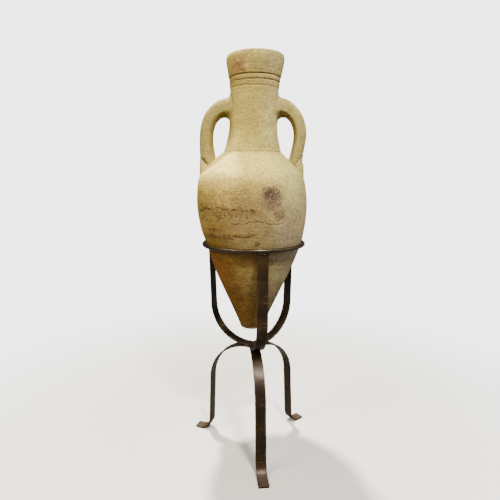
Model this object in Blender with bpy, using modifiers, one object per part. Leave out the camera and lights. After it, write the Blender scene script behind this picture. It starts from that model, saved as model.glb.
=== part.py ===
"""Pointed clay amphora with two handles, resting in a three-legged iron stand."""
import math

import bmesh
import bpy
import numpy as np
from mathutils import Matrix

GAP = 0.0003

# The stand, bent from flat bar and round bar.
BAR_WIDTH = 0.030
BAR_THICKNESS = 0.005
BAR_EDGE = 0.0007
RING_RADIUS = 0.140
RING_BAR_RADIUS = 0.006
RING_HEIGHT = 0.6167
HUB_HEIGHT = 0.3090
MITRE = math.tan(math.radians(58))
CRADLE_BEND = 0.115
CRADLE_REACH = 0.1331
CRADLE_TOP = 0.1385
LEG_BEND = 0.122
FOOT_BEND = 0.038
LEG_FLARE = 0.0061
CRADLE_TURN = {"front": -79.8, "right": 38.6, "left": 156.0}
LEG_TURN = {"front": -82.4, "right": 39.2, "left": 158.2}
LEG_REACH = {"front": 0.1424, "right": 0.1388, "left": 0.1388}
WELD_LENGTH = 0.026
WELD_RADIUS = 0.0015
FOOT_REACH = {"front": 0.2080, "right": 0.1985, "left": 0.1985}

# The amphora: radius and height of the outside at each station.
WALL = 0.0095
TURN_STEPS = 40
SEAM_TOE = 0.3985
SEAM_NECK = 0.8690
TOE_SIDE = [
    (0.0, 0.3690),
    (0.0292, 0.3690),
    (0.0318, 0.3702),
    (0.0350, 0.3765),
    (0.0346, 0.3783),
    (0.0365, 0.3803),
    (0.0436, 0.3985),
]
LOWER_SIDE = [
    (0.0437, 0.3988),
    (0.0576, 0.4300),
    (0.0802, 0.4800),
    (0.1025, 0.5300),
    (0.1200, 0.5750),
    (0.1340, 0.6186),
    (0.1395, 0.6360),
    (0.1455, 0.6600),
    (0.1505, 0.6900),
    (0.1526, 0.7148),
]
UPPER_SIDE = [
    (0.1526, 0.7152),
    (0.1533, 0.7400),
    (0.1508, 0.7700),
    (0.1476, 0.7900),
    (0.1445, 0.8010),
    (0.1395, 0.8110),
    (0.1325, 0.8200),
    (0.1250, 0.8275),
    (0.1165, 0.8360),
    (0.1080, 0.8445),
    (0.1000, 0.8520),
    (0.0920, 0.8590),
    (0.0855, 0.8645),
    (0.0800, 0.8690),
]
NECK_SIDE = [
    (0.0795, 0.8693),
    (0.0747, 0.8850),
    (0.0690, 0.9080),
    (0.0658, 0.9300),
    (0.0646, 0.9550),
    (0.0640, 0.9850),
    (0.0645, 1.0100),
    (0.0655, 1.0300),
]
GROOVED_NECK = [
    (0.0650, 1.0335),
    (0.0662, 1.0365),
    (0.0672, 1.0455),
    (0.0658, 1.0482),
    (0.0674, 1.0505),
    (0.0686, 1.0590),
    (0.0672, 1.0615),
]
RIM_SIDE = [
    (0.0672, 1.0618),
    (0.0696, 1.0640),
    (0.0708, 1.0670),
    (0.0743, 1.0850),
    (0.0777, 1.1040),
    (0.0777, 1.1105),
    (0.0762, 1.1160),
    (0.0735, 1.1190),
    (0.0690, 1.1190),
    (0.0664, 1.1165),
    (0.0648, 1.1100),
    (0.0614, 1.0850),
    (0.0580, 1.0618),
]
NECK_HOLE = 0.0690
# Sideways drift of the hand-thrown axis with height.
AXIS_HEIGHTS = (0.369, 0.530, 0.600, 0.630, 0.660, 0.750, 0.835, 0.869, 0.890, 1.119)
AXIS_DRIFT = (-0.0055, -0.0027, 0.0, 0.0, -0.0022, -0.0050, -0.0068, -0.0040, -0.0020, 0.0062)

# The handles: centre line and half thickness of an oval strap.
STRAP_SPREAD = 1.10
HANDLE_LEFT = [
    (-0.050, 0.9910, 0.0245),
    (-0.068, 0.9900, 0.0238),
    (-0.0880, 0.9848, 0.0226),
    (-0.1045, 0.9735, 0.0208),
    (-0.1178, 0.9560, 0.0196),
    (-0.1255, 0.9330, 0.0190),
    (-0.1285, 0.9080, 0.0188),
    (-0.1285, 0.8850, 0.0195),
    (-0.1270, 0.8660, 0.0208),
    (-0.1250, 0.8470, 0.0218),
    (-0.1232, 0.8270, 0.0250),
    (-0.1200, 0.8050, 0.0278),
    (-0.1160, 0.7850, 0.0290),
]
HANDLE_RIGHT = [
    (0.056, 0.9905, 0.0240),
    (0.075, 0.9890, 0.0232),
    (0.0930, 0.9820, 0.0216),
    (0.1085, 0.9690, 0.0196),
    (0.1195, 0.9515, 0.0186),
    (0.1258, 0.9315, 0.0180),
    (0.1270, 0.9100, 0.0174),
    (0.1240, 0.8880, 0.0172),
    (0.1195, 0.8670, 0.0176),
    (0.1155, 0.8480, 0.0186),
    (0.1148, 0.8280, 0.0230),
    (0.1120, 0.8060, 0.0262),
    (0.1085, 0.7860, 0.0285),
]


def make_collection(name):
    group = bpy.data.collections.new(name)
    bpy.context.scene.collection.children.link(group)
    return group


def make_material(name, colour, roughness, metallic):
    material = bpy.data.materials.new(name)
    material.use_nodes = True
    shader = material.node_tree.nodes["Principled BSDF"]
    shader.inputs["Base Color"].default_value = (*colour, 1.0)
    shader.inputs["Roughness"].default_value = roughness
    shader.inputs["Metallic"].default_value = metallic
    return material


def add_piece(name, mesh, material, parent):
    mesh.materials.clear()
    mesh.materials.append(material)
    piece = bpy.data.objects.new(name, mesh)
    piece.parent = parent
    pieces.objects.link(piece)
    return piece


def add_cutter(name, mesh):
    cutter = bpy.data.objects.new(name, mesh)
    cutter.parent = stand_axis
    cutter.hide_render = True
    cutter.display_type = "WIRE"
    cutters.objects.link(cutter)
    return cutter


def cut(piece, cutter):
    trim = piece.modifiers.new("Trim", "BOOLEAN")
    trim.operation = "DIFFERENCE"
    trim.object = cutter


def as_mesh(source, name):
    """Mesh of a curve or a modified object, with its seams welded."""
    pieces.objects.link(source)
    graph = bpy.context.evaluated_depsgraph_get()
    mesh = bpy.data.meshes.new_from_object(source.evaluated_get(graph))
    bpy.data.objects.remove(source)
    mesh.name = name
    work = bmesh.new()
    work.from_mesh(mesh)
    bmesh.ops.remove_doubles(work, verts=work.verts, dist=0.000002)
    bmesh.ops.recalc_face_normals(work, faces=work.faces)
    work.to_mesh(mesh)
    work.free()
    return mesh


def shade_round(mesh, angle):
    mesh.shade_smooth()
    mesh.set_sharp_from_angle(angle=math.radians(angle))


def curve_through(points, steps):
    """Smooth line through the points, with `steps` pieces in each span."""
    known = np.array(points, dtype=float)
    padded = np.vstack([2 * known[0] - known[1], known, 2 * known[-1] - known[-2]])
    line = []
    for index in range(1, len(padded) - 2):
        before, start, end, after = padded[index - 1:index + 3]
        for step in range(steps):
            t = step / steps
            line.append(
                0.5 * (
                    2 * start
                    + (end - before) * t
                    + (2 * before - 5 * start + 4 * end - after) * t ** 2
                    + (3 * start - before - 3 * end + after) * t ** 3
                )
            )
    line.append(known[-1])
    return [tuple(float(value) for value in point) for point in line]


def offset_line(points, distance):
    """The same line moved along its own normals, to the right of its direction."""
    line = np.array(points)
    slope = np.gradient(line, axis=0)
    slope /= np.linalg.norm(slope, axis=1)[:, None]
    moved = line + distance * np.column_stack([slope[:, 1], -slope[:, 0]])
    return [tuple(float(value) for value in point) for point in moved]


def arc(centre, radius, first, last, steps):
    line = []
    for step in range(steps + 1):
        angle = math.radians(first + (last - first) * step / steps)
        line.append((centre[0] + radius * math.cos(angle), centre[1] + radius * math.sin(angle)))
    return line


def turned(name, side):
    """Mesh of a side turned about the upright axis, which then follows the axis drift."""
    closed = min(radius for radius, height in side) > 0
    count = len(side)
    edges = [(index, (index + 1) % count) for index in range(count if closed else count - 1)]
    outline = bpy.data.meshes.new("outline")
    outline.from_pydata([(radius, 0.0, height) for radius, height in side], edges, [])
    rough = bpy.data.objects.new("outline", outline)
    screw = rough.modifiers.new("Turn", "SCREW")
    screw.steps = TURN_STEPS
    screw.render_steps = TURN_STEPS
    screw.use_merge_vertices = True
    screw.merge_threshold = 0.0001
    mesh = as_mesh(rough, name)
    for vertex in mesh.vertices:
        vertex.co.x += float(np.interp(vertex.co.z, AXIS_HEIGHTS, AXIS_DRIFT))
    shade_round(mesh, 40)
    return mesh


def slab(name, outline, half_depth):
    """Mesh of a flat outline with an even depth to both sides."""
    drawing = bpy.data.curves.new(name, "CURVE")
    drawing.dimensions = "2D"
    drawing.fill_mode = "BOTH"
    drawing.extrude = half_depth
    spline = drawing.splines.new("POLY")
    spline.points.add(len(outline) - 1)
    for point, (across, up) in zip(spline.points, outline):
        point.co = (across, up, 0.0, 1.0)
    spline.use_cyclic_u = True
    return as_mesh(bpy.data.objects.new(name, drawing), name)


def stood_up(piece, turn):
    """Stand a flat outline on edge, facing out from the stand's axis."""
    piece.rotation_euler = (math.pi / 2, 0.0, math.radians(turn))


def flat_bar(name, path, turn, material, mitre):
    """Flat bar bent along its path, with eased edges, mitred where three bars meet."""
    half = BAR_THICKNESS / 2
    outline = offset_line(path, half) + offset_line(path, -half)[::-1]
    piece = add_piece(name, slab(name, outline, BAR_WIDTH / 2), material, stand_axis)
    stood_up(piece, turn)
    ease = piece.modifiers.new("Ease edges", "BEVEL")
    ease.width = BAR_EDGE
    ease.segments = 1
    ease.limit_method = "ANGLE"
    ease.angle_limit = math.radians(40)
    notch = add_cutter("notch_" + name, mitre)
    notch.location.z = HUB_HEIGHT
    notch.rotation_euler.z = math.radians(turn)
    cut(piece, notch)
    shade_round(piece.data, 30)


def cradle_path():
    height = HUB_HEIGHT + BAR_THICKNESS / 2 + GAP / 2
    centre = (CRADLE_REACH - CRADLE_BEND, height + CRADLE_BEND)
    top = RING_HEIGHT - RING_BAR_RADIUS - GAP
    return [(-0.005, height)] + arc(centre, CRADLE_BEND, -90, 0, 14) + [(CRADLE_TOP, top)]


def leg_path(side):
    height = HUB_HEIGHT - BAR_THICKNESS / 2 - GAP / 2
    floor = BAR_THICKNESS / 2
    reach = LEG_REACH[side]
    ankle = reach + LEG_FLARE + FOOT_BEND
    knee = arc((reach - LEG_BEND, height - LEG_BEND), LEG_BEND, 90, 0, 14)
    foot = arc((ankle, floor + FOOT_BEND), FOOT_BEND, 180, 270, 8)
    return [(-0.005, height)] + knee + foot + [(FOOT_REACH[side], floor)]


def hub_weld(side, material):
    """Weld metal filling the notch where a cradle bar and a leg bar part."""
    upper = []
    lower = []
    for step in range(5):
        reach = 0.0270 + 0.0025 * step
        over = reach - (CRADLE_REACH - CRADLE_BEND)
        under = reach - (LEG_REACH[side] - LEG_BEND)
        rise = CRADLE_BEND - math.sqrt(CRADLE_BEND ** 2 - over ** 2)
        drop = LEG_BEND - math.sqrt(LEG_BEND ** 2 - under ** 2)
        upper.append((reach, HUB_HEIGHT + rise - GAP / 2))
        lower.append((reach, HUB_HEIGHT - drop + GAP / 2))
    outline = upper + [(0.0360, HUB_HEIGHT)] + lower[::-1]
    name = "hub_weld_" + side
    piece = add_piece(name, slab(name, outline, WELD_LENGTH / 2), material, stand_axis)
    stood_up(piece, (CRADLE_TURN[side] + LEG_TURN[side]) / 2)


def ring_weld(side, material):
    """Weld bead outside the top of a cradle bar, tucked under the ring."""
    drawing = bpy.data.curves.new("bead", "CURVE")
    drawing.dimensions = "3D"
    drawing.bevel_depth = WELD_RADIUS
    drawing.bevel_resolution = 2
    drawing.use_fill_caps = True
    spline = drawing.splines.new("POLY")
    spline.points.add(3)
    half = WELD_LENGTH / 2
    for point, (along, thickness) in zip(
        spline.points, ((-half, 0.5), (0.001 - half, 1.0), (half - 0.001, 1.0), (half, 0.5))
    ):
        point.co = (CRADLE_TOP + 0.0044, along, RING_HEIGHT - 0.0076, 1.0)
        point.radius = thickness
    name = "ring_weld_" + side
    mesh = as_mesh(bpy.data.objects.new(name, drawing), name)
    shade_round(mesh, 45)
    piece = add_piece(name, mesh, material, stand_axis)
    piece.rotation_euler.z = math.radians(CRADLE_TURN[side])


def handle(name, stations, material, body):
    """Oval strap along its centre line, trimmed where it meets neck and shoulder."""
    drawing = bpy.data.curves.new(name, "CURVE")
    drawing.dimensions = "3D"
    drawing.bevel_depth = 1.0
    drawing.bevel_resolution = 6
    drawing.use_fill_caps = True
    line = curve_through(stations, 2)
    spline = drawing.splines.new("POLY")
    spline.points.add(len(line) - 1)
    for point, (across, height, thickness) in zip(spline.points, line):
        point.co = (across, 0.0, height, 1.0)
        point.radius = thickness
    mesh = as_mesh(bpy.data.objects.new(name, drawing), name)
    mesh.transform(Matrix.Scale(STRAP_SPREAD, 4, (0.0, 1.0, 0.0)))
    shade_round(mesh, 45)
    piece = add_piece(name, mesh, material, amphora_axis)
    cut(piece, body)


for leftover in list(bpy.data.objects):
    bpy.data.objects.remove(leftover)

pieces = make_collection("amphora")
cutters = make_collection("cutters")

stand_axis = bpy.data.objects.new("stand_axis", None)
pieces.objects.link(stand_axis)
amphora_axis = bpy.data.objects.new("amphora_axis", None)
amphora_axis.parent = stand_axis
pieces.objects.link(amphora_axis)

clay_toe = make_material("clay_toe", (0.35, 0.20, 0.08), 0.85, 0.0)
clay_lower = make_material("clay_lower_body", (0.42, 0.27, 0.12), 0.85, 0.0)
clay_upper = make_material("clay_upper_body", (0.62, 0.50, 0.29), 0.85, 0.0)
clay_neck = make_material("clay_neck", (0.55, 0.44, 0.24), 0.85, 0.0)
clay_rim = make_material("clay_rim", (0.52, 0.41, 0.22), 0.85, 0.0)
clay_left = make_material("clay_handle_left", (0.56, 0.45, 0.26), 0.85, 0.0)
clay_right = make_material("clay_handle_right", (0.58, 0.47, 0.28), 0.85, 0.0)
iron_ring = make_material("iron_ring", (0.035, 0.027, 0.018), 0.45, 1.0)

add_piece("toe", turned("toe", [(0.0, SEAM_TOE)] + TOE_SIDE[::-1]), clay_toe, amphora_axis)

lower = LOWER_SIDE
lower_inside = offset_line(lower, -WALL)
lower_inside[0] = (lower_inside[0][0], lower[0][1])
lower_inside[-1] = (lower_inside[-1][0], lower[-1][1])
lower_mesh = turned("lower_body", lower[::-1] + lower_inside)
add_piece("lower_body", lower_mesh, clay_lower, amphora_axis)

upper = UPPER_SIDE
upper_inside = offset_line(upper, -WALL)
upper_inside[0] = (upper_inside[0][0], upper[0][1])
upper_inside = [point for point in upper_inside if point[0] > NECK_HOLE + 0.001]
upper_inside.append((NECK_HOLE, upper_inside[-1][1] + 0.0004))
upper_inside.append((NECK_HOLE, SEAM_NECK))
upper_mesh = turned("upper_body", upper[::-1] + upper_inside)
add_piece("upper_body", upper_mesh, clay_upper, amphora_axis)

neck = NECK_SIDE + GROOVED_NECK
neck_inside = [(radius - WALL, height) for radius, height in NECK_SIDE]
neck_inside.append((0.0577, GROOVED_NECK[-1][1]))
add_piece("neck", turned("neck", neck[::-1] + neck_inside), clay_neck, amphora_axis)

add_piece("rim_collar", turned("rim_collar", RIM_SIDE[::-1]), clay_rim, amphora_axis)

body_side = offset_line(UPPER_SIDE[1:-1] + NECK_SIDE, GAP)
body_side = [(0.0, body_side[0][1])] + body_side + [(0.0, body_side[-1][1])]
body_cutter = add_cutter("body_cutter", turned("body_cutter", body_side[::-1]))
handle("handle_left", HANDLE_LEFT, clay_left, body_cutter)
handle("handle_right", HANDLE_RIGHT, clay_right, body_cutter)

bpy.ops.mesh.primitive_torus_add(
    major_radius=RING_RADIUS,
    minor_radius=RING_BAR_RADIUS,
    major_segments=TURN_STEPS,
    minor_segments=16,
    location=(0.0, 0.0, RING_HEIGHT),
)
ring = bpy.context.object
ring.name = "ring"
ring.data.materials.append(iron_ring)
ring.data.shade_smooth()
ring.parent = stand_axis
for holder in list(ring.users_collection):
    holder.objects.unlink(ring)
pieces.objects.link(ring)

point_reach = 0.014
notch_outline = [
    (GAP, 0.0),
    (point_reach, (point_reach - GAP) * MITRE),
    (-point_reach, (point_reach - GAP) * MITRE),
    (-point_reach, (GAP - point_reach) * MITRE),
    (point_reach, (GAP - point_reach) * MITRE),
]
mitre = slab("mitre", notch_outline, 0.010)
for side in ("front", "left", "right"):
    cradle_iron = make_material("iron_cradle_" + side, (0.040, 0.030, 0.018), 0.5, 1.0)
    leg_iron = make_material("iron_leg_" + side, (0.040, 0.030, 0.018), 0.5, 1.0)
    weld_iron = make_material("iron_weld_" + side, (0.045, 0.035, 0.025), 0.6, 1.0)
    flat_bar("cradle_bar_" + side, cradle_path(), CRADLE_TURN[side], cradle_iron, mitre)
    flat_bar("leg_bar_" + side, leg_path(side), LEG_TURN[side], leg_iron, mitre)
    hub_weld(side, weld_iron)
    ring_weld(side, weld_iron)

# Stand the whole object on the floor, with the origin under the middle of its box.
graph = bpy.context.evaluated_depsgraph_get()
low = np.full(3, np.inf)
high = np.full(3, -np.inf)
for piece in pieces.objects:
    if piece.type == "MESH":
        shaped = piece.evaluated_get(graph)
        for vertex in shaped.data.vertices:
            place = np.array(shaped.matrix_world @ vertex.co)
            low = np.minimum(low, place)
            high = np.maximum(high, place)
stand_axis.location = (-(low[0] + high[0]) / 2, -(low[1] + high[1]) / 2, -low[2])
print("stand axis at", [round(value, 6) for value in stand_axis.location])
print("size", [round(float(value), 6) for value in high - low])
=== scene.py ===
import bmesh
import bpy
import math
import numpy as np
from mathutils import Matrix, Vector, noise


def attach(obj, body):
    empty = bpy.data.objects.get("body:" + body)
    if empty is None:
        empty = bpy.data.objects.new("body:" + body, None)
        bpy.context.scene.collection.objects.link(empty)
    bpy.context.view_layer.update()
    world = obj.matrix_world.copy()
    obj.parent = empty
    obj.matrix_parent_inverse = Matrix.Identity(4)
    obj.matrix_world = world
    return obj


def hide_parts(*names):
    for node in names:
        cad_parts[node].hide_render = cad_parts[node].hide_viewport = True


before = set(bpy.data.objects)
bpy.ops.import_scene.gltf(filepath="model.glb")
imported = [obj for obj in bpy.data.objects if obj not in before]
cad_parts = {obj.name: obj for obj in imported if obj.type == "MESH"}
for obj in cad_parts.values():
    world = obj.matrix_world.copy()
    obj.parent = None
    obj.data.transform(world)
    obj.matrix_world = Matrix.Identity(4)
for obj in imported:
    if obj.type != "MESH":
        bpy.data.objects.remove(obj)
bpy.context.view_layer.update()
standAxis = Vector((0.013325, 0.027407, 0.0))  # foot of the axis shared by stand and amphora


# lines, sections and meshes

def smoothLine(points, steps):
    # a soft line through the points, with even steps in each span
    known = np.array(points, dtype=float)
    padded = np.vstack([2 * known[0] - known[1], known, 2 * known[-1] - known[-2]])
    line = []
    for i in range(1, len(padded) - 2):
        a, b, c, d = padded[i - 1:i + 3]
        for step in range(steps):
            t = step / steps
            line.append(0.5 * (2 * b + (c - a) * t + (2 * a - 5 * b + 4 * c - d) * t ** 2
                               + (3 * b - a - 3 * c + d) * t ** 3))
    line.append(known[-1])
    return np.array(line)


def evenLine(line, spacing):
    # the same line with points at an even spacing
    line = np.array(line)
    along = np.concatenate([[0], np.cumsum(np.linalg.norm(np.diff(line[:, :2], axis=0), axis=1))])
    count = max(2, int(round(along[-1] / spacing)) + 1)
    at = np.linspace(0, along[-1], count)
    return np.column_stack([np.interp(at, along, line[:, k]) for k in range(line.shape[1])])


def lineNormals(line):
    slope = np.gradient(np.array(line)[:, :2], axis=0)
    slope /= np.linalg.norm(slope, axis=1)[:, None]
    return np.column_stack([slope[:, 1], -slope[:, 0]])


def skin(name, rings, capStart=True, capEnd=True):
    # skins a row of closed rings; a cap is a fan to the ring's middle
    rings = [np.array(ring) for ring in rings]
    count = len(rings[0])
    points = [tuple(p) for ring in rings for p in ring]
    faces = []
    for row in range(len(rings) - 1):
        for k in range(count):
            n = (k + 1) % count
            faces.append((row * count + k, row * count + n, (row + 1) * count + n, (row + 1) * count + k))
    last = (len(rings) - 1) * count
    if capStart:
        points.append(tuple(rings[0].mean(axis=0)))
        faces += [((k + 1) % count, k, len(points) - 1) for k in range(count)]
    if capEnd:
        points.append(tuple(rings[-1].mean(axis=0)))
        faces += [(last + k, last + (k + 1) % count, len(points) - 1) for k in range(count)]
    mesh = bpy.data.meshes.new(name)
    mesh.from_pydata(points, [], faces)
    faceOutward(mesh)
    return mesh


def faceOutward(mesh):
    work = bmesh.new()
    work.from_mesh(mesh)
    bmesh.ops.remove_doubles(work, verts=work.verts, dist=0.000002)
    bmesh.ops.dissolve_degenerate(work, edges=work.edges, dist=0.0000005)
    bmesh.ops.recalc_face_normals(work, faces=work.faces)
    if work.calc_volume(signed=True) < 0:
        bmesh.ops.reverse_faces(work, faces=work.faces)
    work.to_mesh(mesh)
    work.free()


def getPoints(mesh):
    flat = np.empty(len(mesh.vertices) * 3)
    mesh.vertices.foreach_get("co", flat)
    return flat.reshape(-1, 3)


def getNormals(mesh):
    flat = np.empty(len(mesh.vertices) * 3)
    mesh.vertex_normals.foreach_get("vector", flat)
    return flat.reshape(-1, 3)


def setPoints(mesh, points):
    mesh.vertices.foreach_set("co", np.ascontiguousarray(points, dtype=np.float32).ravel())
    mesh.update()


def paint(mesh, name, values):
    layer = mesh.attributes.new(name, "FLOAT", "POINT")
    layer.data.foreach_set("value", np.ascontiguousarray(values, dtype=np.float32))


def softNoise(points, scale, seed):
    # smooth noise from -1 to 1 at each point
    shift = Vector((seed * 7.31, seed * 3.77, seed * 5.13))
    return np.array([noise.noise(Vector(p) * scale + shift) for p in points])


def bump01(distance, radius):
    # 1 at the middle, falling softly to 0 at the radius
    t = np.clip(1 - np.abs(distance) / radius, 0, 1)
    return t * t * (3 - 2 * t)


def addPiece(name, mesh, material, body, nodes, angle=35):
    mesh.name = name
    mesh.transform(Matrix.Translation(standAxis))
    mesh.materials.clear()
    mesh.materials.append(material)
    mesh.shade_smooth()
    mesh.set_sharp_from_angle(angle=math.radians(angle))
    piece = bpy.data.objects.new(name, mesh)
    bpy.context.scene.collection.objects.link(piece)
    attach(piece, body)
    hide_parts(*nodes)
    return piece


# material nodes

def tone(red, green, blue):
    # a colour picked on a screen, from 0 to 255, as the shader wants it
    return tuple((c / 255 / 12.92 if c / 255 <= 0.04045 else ((c / 255 + 0.055) / 1.055) ** 2.4)
                 for c in (red, green, blue)) + (1.0,)


class Nodes:
    # short calls for the nodes that the materials and shapes here use
    def __init__(self, tree):
        self.tree = tree

    def add(self, kind, inputs=None, **settings):
        node = self.tree.nodes.new(kind)
        for key, value in settings.items():
            setattr(node, key, value)
        for key, value in (inputs or {}).items():
            self.put(node.inputs[key], value)
        return node

    def put(self, socket, value):
        if isinstance(value, bpy.types.NodeSocket):
            self.tree.links.new(value, socket)
        else:
            socket.default_value = value

    def math(self, operation, a, b=0.0, clamp=False):
        return self.add("ShaderNodeMath", {0: a, 1: b}, operation=operation, use_clamp=clamp).outputs[0]

    def times(self, a, b, clamp=False):
        return self.math("MULTIPLY", a, b, clamp)

    def plus(self, a, b):
        return self.math("ADD", a, b)

    def minus(self, a, b):
        return self.math("SUBTRACT", a, b)

    def most(self, a, b):
        return self.math("MAXIMUM", a, b)

    def axes(self, where):
        return self.add("ShaderNodeSeparateXYZ", {0: where}).outputs

    def joined(self, x, y, z=0.0):
        return self.add("ShaderNodeCombineXYZ", {0: x, 1: y, 2: z}).outputs[0]

    def vector(self, operation, a, b):
        return self.add("ShaderNodeVectorMath", {0: a, 1: b}, operation=operation).outputs[0]

    def scaled(self, vector, factor):
        return self.add("ShaderNodeVectorMath", {0: vector, "Scale": factor}, operation="SCALE").outputs[0]

    def length(self, vector):
        return self.add("ShaderNodeVectorMath", {0: vector}, operation="LENGTH").outputs["Value"]

    def layer(self, name):
        # what the mesh keeps under this name
        return self.add("ShaderNodeAttribute", attribute_name=name).outputs["Fac"]

    def noise(self, where, scale, detail=4.0, rough=0.55):
        node = self.add("ShaderNodeTexNoise", {"Vector": where, "Scale": scale, "Detail": detail,
                                               "Roughness": rough})
        return node.outputs["Fac"]

    def stretch(self, where, scale, shift=(0.0, 0.0, 0.0)):
        node = self.add("ShaderNodeMapping", {"Vector": where, "Location": shift, "Scale": scale})
        return node.outputs["Vector"]

    def band(self, value, low, high, soft=True):
        # 0 at low, 1 at high
        node = self.add("ShaderNodeMapRange", {"Value": value, "From Min": low, "From Max": high},
                        interpolation_type="SMOOTHSTEP" if soft else "LINEAR")
        return node.outputs[0]

    def ramp(self, value, stops):
        node = self.add("ShaderNodeValToRGB", {"Fac": value})
        elements = node.color_ramp.elements
        while len(elements) < len(stops):
            elements.new(0.5)
        for element, (place, colour) in zip(elements, stops):
            element.position = place
            element.color = colour
        return node.outputs["Color"]

    def mix(self, factor, a, b):
        return self.add("ShaderNodeMix", {0: factor, 6: a, 7: b}, data_type="RGBA").outputs[2]

    def swing(self, value, power):
        # noise turned into a factor round 1
        return self.plus(self.times(self.minus(value, 0.5), self.times(power, 4.0)), 1.0)

    def spot(self, where, middle, size, inner):
        # 1 within an oval round the middle, fading to 0 at its edge
        moved = self.stretch(where, tuple(1 / s for s in size), tuple(-m / s for m, s in zip(middle, size)))
        return self.band(self.length(moved), 1.0, inner)

    def relief(self, strength, depth, *layers):
        # layers of height added up, as bumps in the surface
        height = 0.0
        for layer, share in layers:
            height = self.plus(height, self.times(layer, share))
        bump = self.add("ShaderNodeBump", {"Strength": strength, "Distance": depth, "Height": height})
        return bump.outputs["Normal"]


def newMaterial(name):
    material = bpy.data.materials.new(name)
    material.use_nodes = True
    return material, Nodes(material.node_tree), material.node_tree.nodes["Principled BSDF"]


def objectPlace(nodes):
    # coordinates measured from the foot of the common axis
    coordinates = nodes.add("ShaderNodeTexCoord").outputs["Object"]
    return nodes.stretch(coordinates, (1, 1, 1), (-standAxis.x, -standAxis.y, 0.0))


# shapes made by node trees

def newTree(name, shape, sizes, coat, result):
    # a tree with named inputs: a shape to start from, its sizes and its material
    tree = bpy.data.node_groups.new(name, "GeometryNodeTree")
    face = tree.interface
    face.new_socket(shape, in_out="INPUT", socket_type="NodeSocketGeometry")
    for label, kind, value in sizes:
        face.new_socket(label, in_out="INPUT", socket_type="NodeSocket" + kind).default_value = value
    face.new_socket(coat, in_out="INPUT", socket_type="NodeSocketMaterial")
    face.new_socket(result, in_out="OUTPUT", socket_type="NodeSocketGeometry")
    nodes = Nodes(tree)
    return tree, nodes, nodes.add("NodeGroupInput").outputs


def endTree(nodes, shape, coat):
    solid = nodes.add("GeometryNodeRealizeInstances", {"Geometry": shape})
    coated = nodes.add("GeometryNodeSetMaterial", {"Geometry": solid.outputs[0], "Material": coat})
    nodes.add("NodeGroupOutput", {0: coated.outputs[0]})


def runTree(name, points, tree, values):
    # the tree's result on a line through the points, as a plain mesh
    line = bpy.data.meshes.new(name + "Line")
    line.from_pydata(points, [(i, i + 1) for i in range(len(points) - 1)], [])
    holder = bpy.data.objects.new(name, line)
    bpy.context.scene.collection.objects.link(holder)
    modifier = holder.modifiers.new("Shape", "NODES")
    modifier.node_group = tree
    for item in tree.interface.items_tree:
        if item.in_out == "INPUT" and item.name in values:
            modifier[item.identifier] = values[item.name]
    holder.update_tag()
    graph = bpy.context.evaluated_depsgraph_get()
    graph.update()
    mesh = bpy.data.meshes.new_from_object(holder.evaluated_get(graph))
    bpy.data.objects.remove(holder)
    return mesh


# clay

clay = {
    "lowest": 0.369,
    "highest": 1.119,
    "wobble": 0.0007,      # how far the wall wanders from true round
    "ridge": 0.00022,      # height of the throwing rings
    "ridgePitch": 0.0085,
    "roundSteps": 300,
    "wall": 0.0095,
    "toeSeam": 0.3987,
    "bellySeam": 0.715,
    "neckSeam": 0.869,
    "collarSeam": 1.0614,
    "neckHole": 0.069,
    "bellyShift": 0.0045,  # how far the belly's middle lies off the axis
    "step": 0.0022,        # between rows of points on the outside
    "insideStep": 0.006,
}
# fired colour from the foot up, with light and shade painted in by height and side: the shoulder lighter, the
# lower body darker, and a painted shadow of the ring in the dark band near 0.59; height, and light reflected
# in red, green and blue
smokedSideWithShade = [
    (0.37, 0.19, 0.11, 0.03), (0.4, 0.14, 0.065, 0.01), (0.46, 0.16, 0.075, 0.01),
    (0.54, 0.225, 0.105, 0.015), (0.59, 0.18, 0.08, 0.01), (0.615, 0.205, 0.115, 0.015),
    (0.655, 0.255, 0.155, 0.04), (0.69, 0.335, 0.225, 0.065), (0.725, 0.3, 0.205, 0.06),
    (0.75, 0.43, 0.305, 0.08), (0.78, 0.62, 0.47, 0.12), (0.83, 0.7, 0.56, 0.17),
    (0.87, 0.67, 0.56, 0.17), (0.905, 0.59, 0.485, 0.125), (0.94, 0.43, 0.34, 0.095),
    (1.01, 0.505, 0.4, 0.1), (1.05, 0.36, 0.26, 0.08), (1.07, 0.3, 0.21, 0.065),
    (1.095, 0.405, 0.3, 0.085), (1.12, 0.56, 0.475, 0.135),
]
frontColoursWithShade = [
    (0.37, 0.23, 0.145, 0.06), (0.4, 0.23, 0.12, 0.025), (0.45, 0.285, 0.155, 0.035),
    # the dark value at 0.59 is a painted shadow of the ring
    (0.5, 0.315, 0.205, 0.06), (0.56, 0.42, 0.3, 0.09), (0.59, 0.235, 0.125, 0.03),
    (0.625, 0.36, 0.27, 0.11), (0.66, 0.335, 0.24, 0.09), (0.7, 0.315, 0.225, 0.085),
    (0.725, 0.29, 0.195, 0.07), (0.75, 0.335, 0.235, 0.075), (0.78, 0.47, 0.35, 0.095),
    (0.805, 0.64, 0.5, 0.13), (0.85, 0.67, 0.56, 0.145), (0.87, 0.45, 0.37, 0.09),
    (0.9, 0.4, 0.325, 0.075), (0.94, 0.355, 0.275, 0.075), (1.0, 0.365, 0.29, 0.075),
    (1.07, 0.31, 0.235, 0.07), (1.12, 0.37, 0.3, 0.08),
]
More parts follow.
